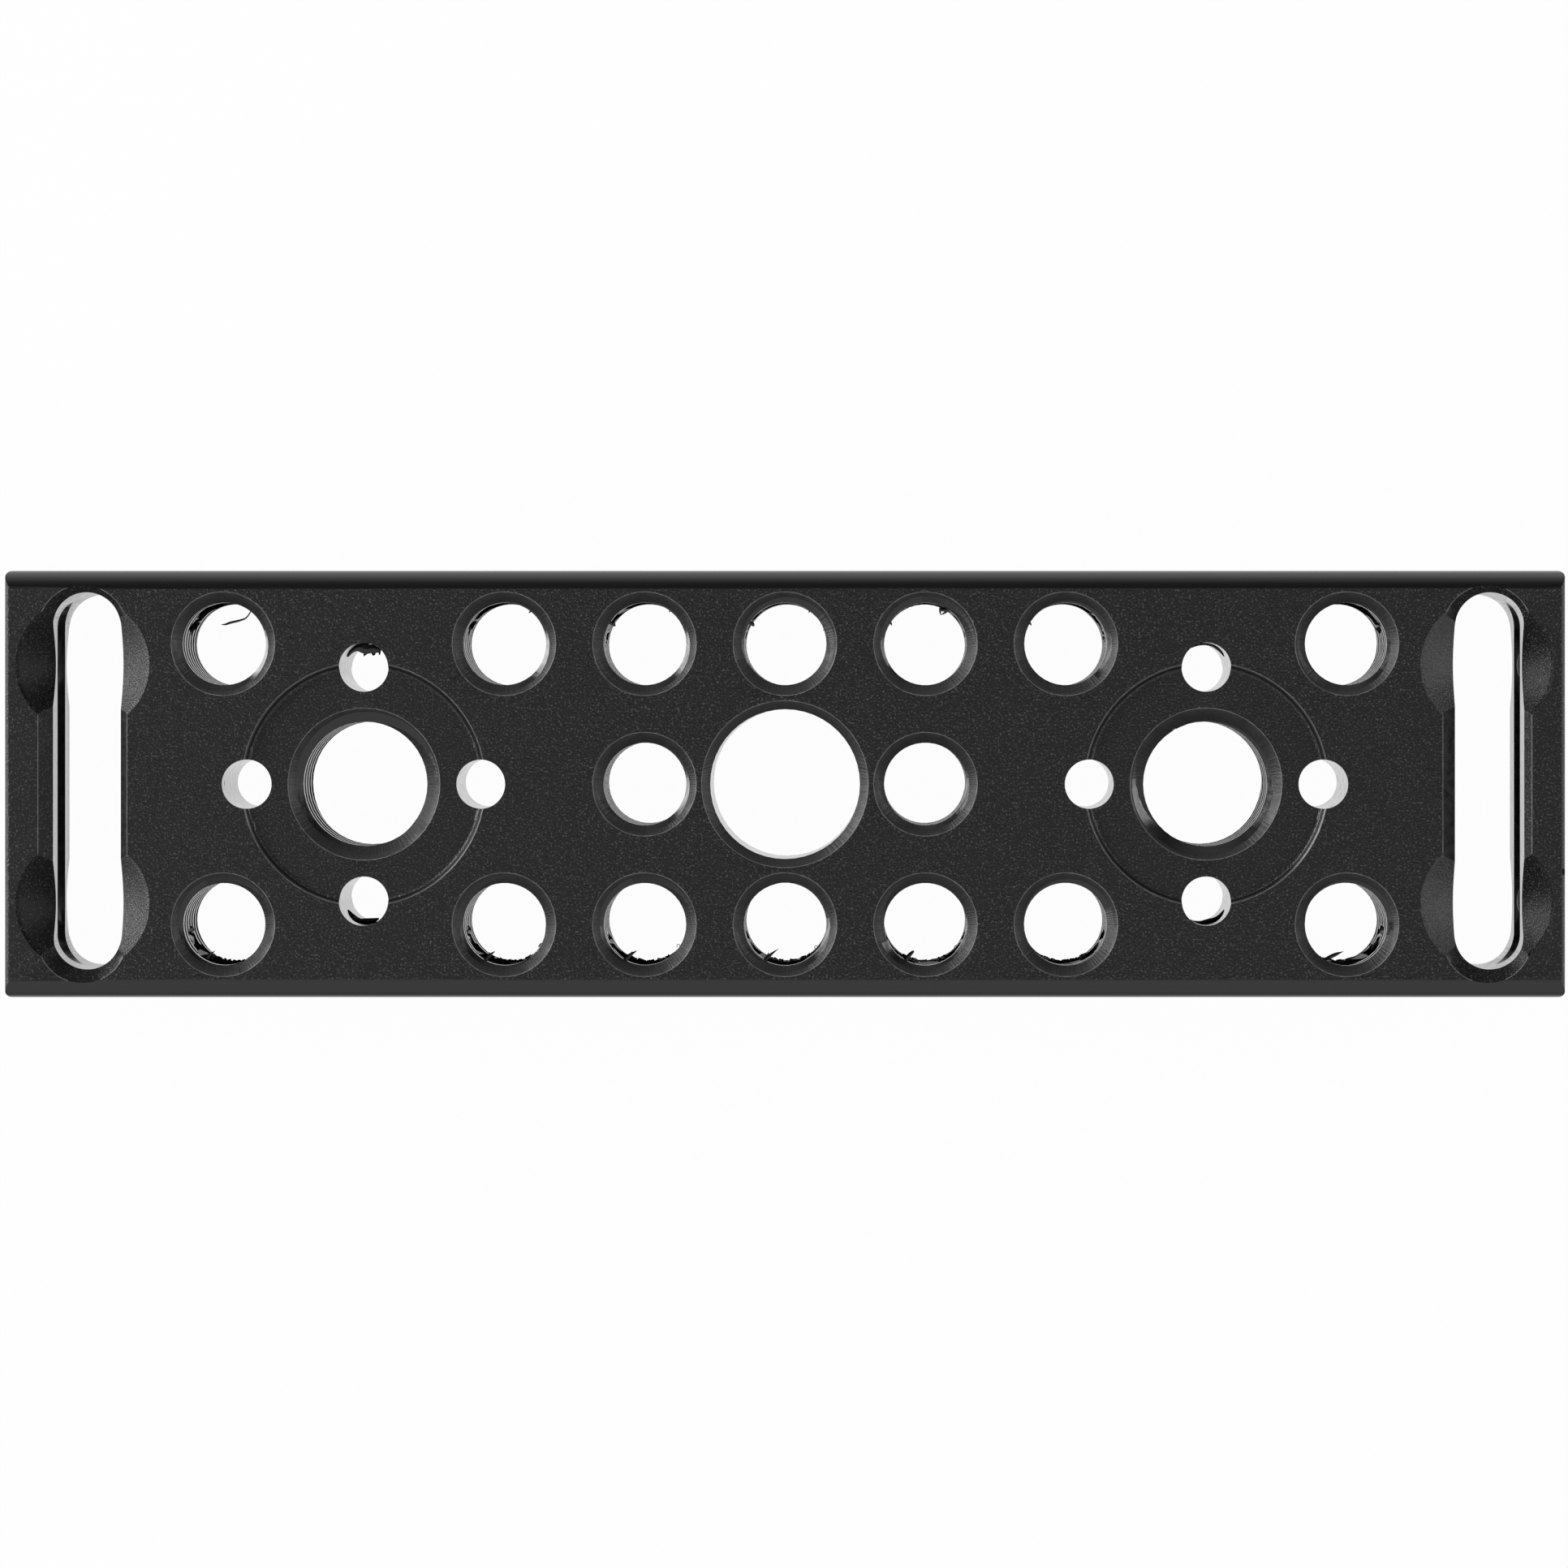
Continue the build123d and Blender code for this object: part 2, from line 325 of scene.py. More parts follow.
def threadCutterTree():
    tree = bpy.data.node_groups.new("threadCutters", "GeometryNodeTree")
    tree.interface.new_socket("Holes", in_out="INPUT", socket_type="NodeSocketGeometry")
    for name in ("Major Diameter", "Core Diameter", "Thread Pitch", "Cut Length"):
        tree.interface.new_socket(name, in_out="INPUT", socket_type="NodeSocketFloat")
    tree.interface.new_socket("Steps Per Turn", in_out="INPUT", socket_type="NodeSocketInt")
    tree.interface.new_socket("Thread Finish", in_out="INPUT", socket_type="NodeSocketMaterial")
    tree.interface.new_socket("Cutters", in_out="OUTPUT", socket_type="NodeSocketGeometry")
    sizes = addNode(tree, "NodeGroupInput").outputs
    turns = addNode(tree, "ShaderNodeMath", {
        0: sizes["Cut Length"], 1: sizes["Thread Pitch"]}, operation="DIVIDE").outputs[0]
    majorRadius = addNode(tree, "ShaderNodeMath", {
        0: sizes["Major Diameter"], 1: 0.5}, operation="MULTIPLY").outputs[0]
    coreRadius = addNode(tree, "ShaderNodeMath", {
        0: sizes["Core Diameter"], 1: 0.5}, operation="MULTIPLY").outputs[0]
    depth = addNode(tree, "ShaderNodeMath", {
        0: majorRadius, 1: coreRadius}, operation="SUBTRACT").outputs[0]
    bothRadii = addNode(tree, "ShaderNodeMath", {
        0: majorRadius, 1: coreRadius}, operation="ADD").outputs[0]
    middleRadius = addNode(tree, "ShaderNodeMath", {0: bothRadii, 1: 0.5}, operation="MULTIPLY").outputs[0]
    rootFlat = addNode(tree, "ShaderNodeMath", {
        0: sizes["Thread Pitch"], 1: thread["rootShare"]}, operation="MULTIPLY").outputs[0]
    flanks = addNode(tree, "ShaderNodeMath", {
        0: depth, 1: 2 * math.tan(math.radians(thread["flankAngle"]))}, operation="MULTIPLY").outputs[0]
    mouth = addNode(tree, "ShaderNodeMath", {0: rootFlat, 1: flanks}, operation="ADD").outputs[0]
    helix = addNode(tree, "GeometryNodeCurveSpiral", {
        "Resolution": sizes["Steps Per Turn"], "Rotations": turns, "Start Radius": middleRadius,
        "End Radius": middleRadius, "Height": sizes["Cut Length"], "Reverse": False})
    upright = addNode(tree, "GeometryNodeSetCurveNormal", {"Curve": helix.outputs[0]}, mode="Z_UP")
    vee = addNode(tree, "GeometryNodeCurvePrimitiveQuadrilateral", {
        "Height": depth, "Bottom Width": mouth, "Top Width": rootFlat, "Offset": 0.0}, mode="TRAPEZOID")
    veeTurned = addNode(tree, "GeometryNodeTransform", {
        "Geometry": vee.outputs[0], "Rotation": (0, 0, math.radians(90))})
    ridge = addNode(tree, "GeometryNodeCurveToMesh", {
        "Curve": upright.outputs[0], "Profile Curve": veeTurned.outputs[0], "Fill Caps": True})
    axis = addNode(tree, "GeometryNodeInputNamedAttribute", {"Name": "holeAxis"}, data_type="FLOAT_VECTOR")
    along = addNode(tree, "FunctionNodeAlignRotationToVector", {"Vector": axis.outputs[0]}, axis="Z")
    placed = addNode(tree, "GeometryNodeInstanceOnPoints", {
        "Points": sizes["Holes"], "Instance": ridge.outputs[0], "Rotation": along.outputs[0]})
    startAngle = addNode(tree, "FunctionNodeRandomValue", {
        2: 0.0, 3: 2 * math.pi, "Seed": thread["startSeed"]}, data_type="FLOAT")
    spin = addNode(tree, "ShaderNodeCombineXYZ", {2: startAngle.outputs[1]})
    spun = addNode(tree, "GeometryNodeRotateInstances", {
        "Instances": placed.outputs[0], "Rotation": spin.outputs[0], "Local Space": True})
    real = addNode(tree, "GeometryNodeRealizeInstances", {0: spun.outputs[0]})
    finished = addNode(tree, "GeometryNodeSetMaterial", {
        "Geometry": real.outputs[0], "Material": sizes["Thread Finish"]})
    addNode(tree, "NodeGroupOutput", {0: finished.outputs[0]})
    return tree


def cutterMesh(name, tree, starts, sizes):  # starts: (point, axis) of each hole, where its ridge begins
    mesh = bpy.data.meshes.new(name)
    mesh.from_pydata([p for p, a in starts], [], [])
    direction = mesh.attributes.new("holeAxis", "FLOAT_VECTOR", "POINT")
    direction.data.foreach_set("vector", [c for p, a in starts for c in a])
    holder = newObject(name, mesh)
    nodes = holder.modifiers.new("threads", "NODES")
    nodes.node_group = tree
    for item in tree.interface.items_tree:
        if item.in_out == "INPUT" and item.name in sizes:
            nodes[item.identifier] = sizes[item.name]
    made = plainMesh(holder, name + "Ridges")
    holder.modifiers.remove(nodes)
    bpy.data.objects.remove(holder)
    return made


thread = {
    "flankAngle": 30.0,   # degrees; half of a 60 degree thread
    "rootShare": 0.125,   # flat at the root, as a share of the pitch
    "startSeed": 4,       # the angle at which each thread starts is random
    "cutLength": 12.7,    # mm; runs out past both faces of the bar
}
quarterInch = {
    "Major Diameter": 6.35 * mm,
    "Core Diameter": 5.2 * mm,
    "Thread Pitch": 1.27 * mm,
    "Cut Length": thread["cutLength"] * mm,
    "Steps Per Turn": 28,
    "Thread Finish": finishes["tapped"],
}
threeEighths = {
    "Major Diameter": 9.525 * mm,
    "Core Diameter": 7.88 * mm,
    "Thread Pitch": 1.5875 * mm,
    "Cut Length": thread["cutLength"] * mm,
    "Steps Per Turn": 36,
    "Thread Finish": finishes["tapped"],
}

# The bar in mm. X runs along it, and the origin is the middle of its bottom face.
bar = {
    "thickness": 9.4,
    "halfWidth": 13.7,
    "halfLength": 50.0,
    "edgeRound": 1.2,
    "endBreak": 0.35,
    "cornerRound": 0.4,
    "recessDepth": 0.4,
    "slotX": 45.0,
    "seatY": 7.65,
    "seatRadius": 4.35,
    "seatEndY": 11.3,      # past this the end of the slot has cut the seat away
    "rimBreak": 0.05,      # how far blasting has worn each rim of a chamfer
    "sharpAngle": 14.0,    # degrees; a sharper edge is shaded as an edge
    "mergeWithin": 0.0005,
    "flatWithin": 0.3,     # degrees; facets closer than this count as one face
    "chamferTurn": (0.7, 0.87),  # radians from a level face to its chamfer
}
holes = {
    "pitch": 9.0,
    "row": 9.0,
    "gridColumns": (-4, -2, -1, 0, 1, 2, 4),
    "middleColumns": (-1, 1),
    "sideColumns": range(-4, 5),
    "largeX": 27.0,
    "sideDepth": 4.3,      # where the thread of a side hole ends
    "sideCut": 6.0,
    "sideCore": 5.1,
    # just past the outer radius of each thread
    "quarterReach": 3.25,
    "largeReach": 4.85,
    "sideReach": 0.2,      # past the end of the thread of a side hole
}

threadTree = threadCutterTree()
middle = bar["thickness"] / 2
below = (bar["thickness"] - thread["cutLength"]) / 2
gridHoles = [(c * holes["pitch"], s * holes["row"]) for c in holes["gridColumns"] for s in (-1, 1)]
gridHoles += [(c * holes["pitch"], 0) for c in holes["middleColumns"]]
gridStarts = [((x * mm, y * mm, below * mm), (0, 0, 1)) for x, y in gridHoles]
largeStarts = [((s * holes["largeX"] * mm, 0, below * mm), (0, 0, 1)) for s in (-1, 1)]
deepEnd = bar["halfWidth"] - holes["sideDepth"]
sideStarts = [
    ((c * holes["pitch"] * mm, s * deepEnd * mm, middle * mm), (0, s, 0))
    for c in holes["sideColumns"] for s in (-1, 1)
]
gridCutters = cutterMesh("gridThreads", threadTree, gridStarts, quarterInch)
largeCutters = cutterMesh("largeThreads", threadTree, largeStarts, threeEighths)
sideCutters = cutterMesh("sideThreads", threadTree, sideStarts, {
    **quarterInch, "Cut Length": holes["sideCut"] * mm, "Core Diameter": holes["sideCore"] * mm})
print("thread ridges", [len(m.polygons) for m in (gridCutters, largeCutters, sideCutters)])


# The bar itself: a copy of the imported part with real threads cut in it

def openEdges(shell):
    return sum(1 for edge in shell.edges if len(edge.link_faces) != 2)


def breakRims(mesh):  # rounds over the line where each chamfer meets the face it is cut in
    shell = bmesh.new()
    shell.from_mesh(mesh)
    bmesh.ops.dissolve_limit(
        shell, angle_limit=math.radians(bar["flatWithin"]), verts=shell.verts, edges=shell.edges,
        use_dissolve_boundaries=False)
    rims = []
    for edge in shell.edges:
        if len(edge.link_faces) != 2 or not between(edge.calc_face_angle(0), bar["chamferTurn"]):
            continue
        if max(abs(f.normal.z) for f in edge.link_faces) > tell["level"]:
            rims.append(edge)
    made = bmesh.ops.bevel(
        shell, geom=rims, offset=bar["rimBreak"] * mm, offset_type="OFFSET", segments=2, profile=0.5,
        affect="EDGES", clamp_overlap=True)
    bmesh.ops.triangulate(shell, faces=shell.faces)
    print("rims broken", len(rims), "new faces", len(made["faces"]), "open edges", openEdges(shell))
    shell.to_mesh(mesh)
    shell.free()


def mergedCopy(node):
    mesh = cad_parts[node].data.copy()
    shell = bmesh.new()
    shell.from_mesh(mesh)
    bmesh.ops.remove_doubles(shell, verts=shell.verts, dist=bar["mergeWithin"] * mm)
    shell.to_mesh(mesh)
    shell.free()
    for name in ("custom_normal", "sharp_edge", "sharp_face"):
        if name in mesh.attributes:
            mesh.attributes.remove(mesh.attributes[name])
    breakRims(mesh)
    mesh.materials.clear()
    for finish in finishes.values():
        mesh.materials.append(finish)
    return mesh


def joined(meshes, name):
    whole = bmesh.new()
    for mesh in meshes:
        whole.from_mesh(mesh)
    result = bpy.data.meshes.new(name)
    whole.to_mesh(result)
    whole.free()
    return result


def cutOut(piece, cutters):
    tool = newObject("tool", cutters)
    cut = piece.modifiers.new("threads", "BOOLEAN")
    cut.operation = "DIFFERENCE"
    cut.solver = "MANIFOLD"
    cut.object = tool
    mesh = plainMesh(piece, piece.name)
    piece.modifiers.remove(cut)
    bpy.data.objects.remove(tool)
    piece.data = mesh


def withoutFins(mesh):  # drops each pair of faces that lie back to back on the same corners
    shell = bmesh.new()
    shell.from_mesh(mesh)
    corners = {}
    for face in shell.faces:
        corners.setdefault(frozenset(v.index for v in face.verts), []).append(face)
    fins = [face for group in corners.values() if len(group) == 2 for face in group]
    bmesh.ops.delete(shell, geom=fins, context="FACES")
    print("fins dropped", len(fins), "open edges", openEdges(shell))
    shell.to_mesh(mesh)
    shell.free()


# What tells the faces of the bar apart. Each pair is a lowest and a highest value.
tell = {
    # how far a face looks up or down: the size of its normal's Z
    "level": 0.999,
    "roundTop": 0.9995,       # a long round counts as the face beside it above this
    "rim": (0.74, 0.998),
    "seatRim": 0.894,         # the flatter cone round each seat, which takes no worn rim or painted rim highlight
    "seatRimSpread": 0.012,
    "chamfer": (0.64, 0.77),
    "sloped": 0.3,
    "recessWall": 0.8,        # the wall of a recess is steeper than this, its broken edge flatter
    "upright": 0.01,
    "seat": 0.5,
    # other parts of a normal
    "lengthwise": 0.1,        # X, of the long sides and their rounds
    "endSeat": (0.69, 0.725),  # X, of the seats in the end faces
    "sideChamfer": (0.68, 0.73),  # Y, of the chamfers of the side holes
    "facingEnd": 0.6,         # X, of the side of a slot's chamfer that looks towards its end of the bar
    "towardsAxis": 0.97,      # how straight a seat looks at its own axis
    "tilted": 0.1,
    # mm from the nearer level face
    "onFace": 0.01,
    "onFloor": 0.02,
    "belowRecess": 0.42,
    "belowSeats": 0.36,
    "belowChamfers": 1.3,
    "threadStart": 0.7,
    # mm along or across the bar
    "roundSlack": 0.15,
    "onSide": 0.005,
    "onEnd": 0.01,
    "endSeatSlack": 0.1,
    "sideChamferRun": 0.7,
    "slotChamferX": 41.0,
    # mm from the axis of a hole or seat
    "recessFloor": 6.0,
    "recessRim": (7.0, 8.0),
    "seatAxis": 0.1,
    "seatSlack": 0.05,
}


def onSeat(centre, normal):  # on one of the eight cone seats, whose faces look towards their own axis
    dx = centre.x / mm - math.copysign(bar["slotX"], centre.x)
    dy = centre.y / mm - math.copysign(bar["seatY"], centre.y)
    distance = math.hypot(dx, dy)
    level = math.hypot(normal.x, normal.y)
    if not between(distance, (tell["seatAxis"], bar["seatRadius"] + tell["seatSlack"])):
        return False
    if level < tell["tilted"] or abs(centre.y) > bar["seatEndY"] * mm:
        return False
    towardsAxis = -(dx * normal.x + dy * normal.y) / (distance * level)
    return towardsAxis > tell["towardsAxis"] and abs(normal.z) > tell["seat"]


def threaded(x, y, z):  # inside the outer diameter of some tapped hole, in mm
    column = round(x / holes["pitch"]) * holes["pitch"]
    if math.hypot(x - math.copysign(holes["largeX"], x), y) < holes["largeReach"]:
        return True
    inSideHole = math.hypot(x - column, z - middle) < holes["quarterReach"]
    if inSideHole and abs(y) > bar["halfWidth"] - holes["sideDepth"] - holes["sideReach"]:
        return True
    return any(math.hypot(x - hx, y - hy) < holes["quarterReach"] for hx, hy in gridHoles)


def finishFor(centre, normal):  # the name of the finish of a face
    x, y, z = abs(centre.x) / mm, abs(centre.y) / mm, centre.z / mm
    lift = abs(normal.z)
    fromFace = min(z, bar["thickness"] - z)
    fromLarge = math.hypot(x - holes["largeX"], y)
    looksOut = normal.x * centre.x > 0

    # the long sides with their rounds
    roundStart = bar["halfWidth"] - bar["edgeRound"]
    onRound = (normal.y * centre.y > 0 and y > roundStart - tell["roundSlack"] and lift < tell["roundTop"]
               and abs(normal.x) < tell["lengthwise"] and x < bar["halfLength"] - bar["endBreak"])
    if y > bar["halfWidth"] - tell["onSide"] or onRound:
        return "drawn"

    # the seats, first those on the faces and then those in the ends
    if onSeat(centre, normal):
        # faces looking out get the brighter seat copy (painted sheen), and the others the darker one (painted
        # shade)
        return "coarseLitSeat" if looksOut else "evenShadedSeat"
    if (x > bar["slotX"] - tell["endSeatSlack"] and fromFace > tell["belowSeats"]
            and between(abs(normal.x), tell["endSeat"]) and lift > tell["upright"]):
        return "evenShadedSeat"

    # the ends, the two faces and the floors of the recesses
    if x > bar["halfLength"] - bar["cornerRound"] - tell["onEnd"] and looksOut:
        return "blasted"
    onFloor = abs(fromFace - bar["recessDepth"]) < tell["onFloor"]
    if lift > tell["level"] and (fromFace < tell["onFace"] or onFloor):
        return "blasted"

    # worn rims with their painted highlight, the walls of the recesses and the chamfers
    rimDepth = abs(fromFace - bar["recessDepth"]) if fromLarge < tell["recessFloor"] else fromFace
    onSeatRim = abs(lift - tell["seatRim"]) <= tell["seatRimSpread"]
    if between(lift, tell["rim"]) and rimDepth < bar["rimBreak"] and not onSeatRim:
        return "wornRimHighlight"
    nearFace = lift > tell["sloped"] and fromFace < tell["belowRecess"]
    if between(fromLarge, tell["recessRim"]) and nearFace:
        return "milled" if lift < tell["recessWall"] else "blasted"
    if nearFace or (fromFace < tell["belowChamfers"] and between(lift, tell["chamfer"])):
        if x < tell["slotChamferX"]:
            return "countersunk"
        return "milled" if normal.x * centre.x > tell["facingEnd"] * x * mm else "evenShadedSeat"
    if y > bar["halfWidth"] - tell["sideChamferRun"] and between(abs(normal.y), tell["sideChamfer"]):
        return "countersunk"

    # the walls of the holes and slots
    if not threaded(centre.x / mm, centre.y / mm, z):
        return "reamed"
    return "countersunk" if fromFace < tell["threadStart"] else "tapped"


# Small marks: lines scored round the middle bore, and breaks in three edges, as the photo shows
marks = {
    "boreRadius": 4.8,
    "scores": (1.8, 3.4, 5.1),  # heights of the lines the boring tool left in the middle bore
    "scoreSize": 0.03,
    "scoreSteps": 72,
    # (place, half sizes) of each break
    "chips": (
        ((49.9, -5.62, 9.3), (0.14, 0.24, 0.2)),
        ((24.96, 3.56, 8.15), (0.16, 0.16, 0.22)),
        ((27.6, -3.97, 8.15), (0.17, 0.14, 0.22)),
    ),
    "chipSeed": 11,
    "leastSize": 0.75,  # the points of a break lie at this share of its size or more
    "sizeSpread": 0.5,
}


def ringCutter(centre, z, radius, size, steps):  # a thin level ring that scores a line round a bore
    shell = bmesh.new()
    section = [(radius + size, z), (radius, z + size), (radius - size, z), (radius, z - size)]
    loops = []
    for k in range(steps):
        turn = 2 * math.pi * k / steps
        loops.append([shell.verts.new((
            (centre[0] + r * math.cos(turn)) * mm,
            (centre[1] + r * math.sin(turn)) * mm,
            h * mm)) for r, h in section])
    for k in range(steps):
        here, following = loops[k], loops[(k + 1) % steps]
        for i in range(4):
            shell.faces.new((here[i], following[i], following[(i + 1) % 4], here[(i + 1) % 4]))
    bmesh.ops.recalc_face_normals(shell, faces=shell.faces)
    mesh = bpy.data.meshes.new("ring")
    shell.to_mesh(mesh)
    shell.free()
    return mesh


def chipCutter(place, sizes, seed):  # a ragged pebble shape, whose cut reads as a small break in an edge
    pick = random.Random(seed)
    shell = bmesh.new()
    bmesh.ops.create_icosphere(shell, subdivisions=2, radius=1.0)
    for vert in shell.verts:
        rough = marks["leastSize"] + marks["sizeSpread"] * pick.random()
        vert.co = Vector([(p + c * s * rough) * mm for p, c, s in zip(place, vert.co, sizes)])
    mesh = bpy.data.meshes.new("chip")
    shell.to_mesh(mesh)
    shell.free()
    return mesh


scores = [
    ringCutter((0, 0), z, marks["boreRadius"], marks["scoreSize"], marks["scoreSteps"])
    for z in marks["scores"]
]
chips = [chipCutter(place, sizes, marks["chipSeed"] + i) for i, (place, sizes) in enumerate(marks["chips"])]

block = newObject("anodisedBlock", mergedCopy("riser_block"))
print("bar before threads", len(block.data.polygons))
cutOut(block, joined([gridCutters, largeCutters], "uprightCutters"))
cutOut(block, sideCutters)
cutOut(block, joined(scores + chips, "marks"))
withoutFins(block.data)
faces = block.data.polygons
faces.foreach_set("material_index", [finishNumbers[finishFor(f.center, f.normal)] for f in faces])
faces.foreach_set("use_smooth", [True] * len(faces))
block.data.set_sharp_from_angle(angle=math.radians(bar["sharpAngle"]))
weighted = block.modifiers.new("evenNormals", "WEIGHTED_NORMAL")
weighted.keep_sharp = True
weighted.weight = 100
block.data = plainMesh(block, "anodisedBlock")
block.modifiers.clear()
print("bar with threads", len(block.data.polygons))
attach(block, "root")
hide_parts("riser_block")


# Burrs: the slivers that drill and tap left standing where the side holes break into the others

burrs = {
    "thickness": 0.045,
    # Each sliver from its root in the wall to its tip: height, then (x, y, width) along it
    "slivers": (
        (7.5, ((-34.28, 11.31, 0.1), (-34.45, 11.05, 0.08), (-34.73, 10.68, 0.1), (-35.17, 10.51, 0.14),
            (-35.73, 10.38, 0.16), (-36.06, 10.27, 0.12), (-36.34, 10.25, 0.03))),
        (7.5, ((-19.49, -11.57, 0.3), (-19.32, -11.33, 0.26), (-19.07, -11.08, 0.2), (-18.86, -10.89, 0.12),
            (-18.69, -10.79, 0.02))),
        (7.45, ((-19.18, -11.21, 0.16), (-19.08, -11, 0.12), (-19.02, -10.83, 0.02))),
        (7.5, ((-37.26, -11.21, 0.3), (-37.08, -11, 0.2), (-36.89, -10.87, 0.1), (-36.73, -10.76, 0.02))),
        (7.4, ((-36.95, -11.26, 0.2), (-36.85, -11.05, 0.12), (-36.8, -10.9, 0.02))),
        (7.5, ((-10.51, -11.52, 0.3), (-10.31, -11.31, 0.28), (-10.04, -11.05, 0.24), (-9.77, -10.87, 0.14),
            (-9.56, -10.74, 0.02))),
        (7.45, ((-10.19, -11.21, 0.16), (-9.98, -10.97, 0.12), (-9.88, -10.79, 0.02))),
        (7.5, ((-1.52, -11.57, 0.3), (-1.33, -11.36, 0.24), (-1.05, -11.08, 0.22), (-0.79, -10.87, 0.13),
            (-0.45, -10.63, 0.02))),
        (7.45, ((-1.31, -11.26, 0.16), (-1.15, -11.03, 0.1), (-1.07, -10.84, 0.02))),
        (7.5, ((7.57, -11.47, 0.3), (7.77, -11.28, 0.28), (7.99, -11.02, 0.26), (8.2, -10.82, 0.18),
            (8.28, -10.76, 0.06))),
        (7.5, ((34.43, -11.52, 0.16), (34.72, -11.32, 0.2), (35.11, -11.13, 0.26), (35.47, -10.97, 0.22),
            (35.73, -10.87, 0.1), (35.94, -10.8, 0.02))),
        (7.5, ((10.55, 11.31, 0.3), (10.34, 11.21, 0.26), (10.03, 11.21, 0.2), (9.92, 11.29, 0.1))),
        (7.4, ((9.98, 11.37, 0.16), (9.96, 11.1, 0.13), (10, 10.87, 0.04))),
        (7.45, ((10.5, 11.18, 0.16), (10.24, 11, 0.13), (10, 10.88, 0.03))),
        (7.5, ((6.61, 10.48, 0.12), (6.79, 10.34, 0.14), (6.84, 10.19, 0.04))),
        (7.5, ((15.57, 10.42, 0.12), (15.76, 10.32, 0.14), (15.83, 10.19, 0.04))),
        (7.5, ((19.82, 11.21, 0.14), (19.69, 11.02, 0.16), (19.56, 10.89, 0.04))),
        (7.5, ((-16.25, 11.26, 0.14), (-16.4, 11.11, 0.14), (-16.54, 11, 0.03))),
        (7.5, ((-7.27, 11.31, 0.12), (-7.39, 11.15, 0.12), (-7.5, 11.05, 0.03))),
        (7.5, ((1.77, 11.36, 0.16), (1.62, 11.18, 0.16), (1.49, 11.02, 0.03))),
        (7.5, ((2.69, 10.06, 0.1), (2.53, 9.95, 0.1), (2.43, 9.87, 0.03))),
        (7.4, ((-2.36, 10.37, 0.2), (-2.12, 10.29, 0.26), (-2.04, 10.14, 0.1))),
        (7.4, ((-11.29, 10.37, 0.2), (-11.08, 10.29, 0.24), (-10.98, 10.14, 0.1))),
        (7.4, ((6.42, -9.8, 0.12), (6.55, -9.94, 0.14), (6.66, -10.06, 0.03))),
        (7.4, ((-15.68, -10.27, 0.12), (-15.81, -10.4, 0.14), (-15.92, -10.51, 0.03))),
        (7.5, ((38.14, -10.16, 0.2), (37.93, -10.37, 0.2), (37.72, -10.68, 0.04))),
        (5.4, ((-28.41, 8.19, 0.05), (-28.09, 8.59, 0.3), (-27.72, 8.8, 0.5), (-27.25, 8.69, 0.62),
            (-26.83, 8.72, 0.58), (-26.46, 8.69, 0.5), (-26.23, 8.59, 0.3))),
        (4.9, ((-28.44, -8.23, 0.05), (-28.24, -8.58, 0.2), (-27.87, -8.89, 0.26), (-27.4, -8.94, 0.36),
            (-26.87, -8.92, 0.36), (-26.4, -8.77, 0.1))),
        (4.9, ((26.3, 8.8, 0.05), (26.63, 8.94, 0.1), (27.05, 9.02, 0.14), (27.47, 8.99, 0.18),
            (27.84, 8.83, 0.2), (28.21, 8.51, 0.14), (28.47, 8.2, 0.04))),
        (4.9, ((26.38, -8.93, 0.06), (26.84, -9.02, 0.18), (27.31, -8.95, 0.3), (27.68, -8.85, 0.26),
            (28.05, -8.69, 0.24), (28.44, -8.3, 0.04))),
        (5.2, ((-27.11, 8.56, 0.3), (-27.27, 8.38, 0.2), (-27.35, 8.23, 0.04))),
        (5.2, ((-26.69, 8.56, 0.3), (-26.72, 8.38, 0.26), (-26.74, 8.28, 0.1))),
        (5.2, ((-26.32, 8.56, 0.14), (-26.32, 8.4, 0.12), (-26.35, 8.3, 0.03))),
        (8.0, ((-36.01, 0.95, 0.03), (-36.07, 0.4, 0.05), (-36.08, -0.17, 0.03))),
    ),
    # Middle of each little ring-shaped curl
    "curls": ((-6.89, -10.43), (1.98, -10.51), (10.97, -10.51), (37.71, -10.43)),
    "curlRadius": 0.1,
    "curlHeight": 7.4,
    "curlTurns": (-60, 240),  # degrees
    "curlSteps": 14,
    "curlRise": 0.012,        # for each step
    "curlWidth": 0.04,
    "droop": 0.04,            # how much lower each point of a sliver lies than the one before
    "leastWidth": 0.015,
    # The lower lip of each side hole in the front row carries ragged tips
    "lowerRow": (-36, -18, -9, 0, 9, 18, 36),
    "teeth": 13,
    "teethFrom": -122,        # degrees
    "teethSweep": 66,
    "holeRadius": 2.65,
    "sideHoleRadius": 3.15,   # of the thread of the side hole, whose lip the tips stand on
    "rootRadius": 2.78,
    "edgeRadius": 2.64,
    "edgeRise": 0.03,
    "tipRise": 0.06,
    "tipWidth": 0.02,
    "narrowing": 0.8,         # width at the edge of the hole, as a share of the width at the root
    # Each tip draws its place, reach, bend and width at random
    "seed": 7,
    "scatter": 0.8,
    "leastReach": 0.02,
    "moreReach": 0.1,
    "bend": (-3, 5),          # degrees
    "leastRoot": 0.2,
    "moreRoot": 0.25,
}


def eased(path):  # the same path with two more points to a span, on a smooth curve through all of them
    out = []
    for i in range(len(path) - 1):
        a, b, c, d = (Vector(path[j]) for j in (max(i - 1, 0), i, i + 1, min(i + 2, len(path) - 1)))
        for t in (0, 1 / 3, 2 / 3):
            out.append(0.5 * (2 * b + (c - a) * t + (2 * a - 5 * b + 4 * c - d) * t ** 2
                              + (3 * b - a - 3 * c + d) * t ** 3))
    return out + [Vector(path[-1])]


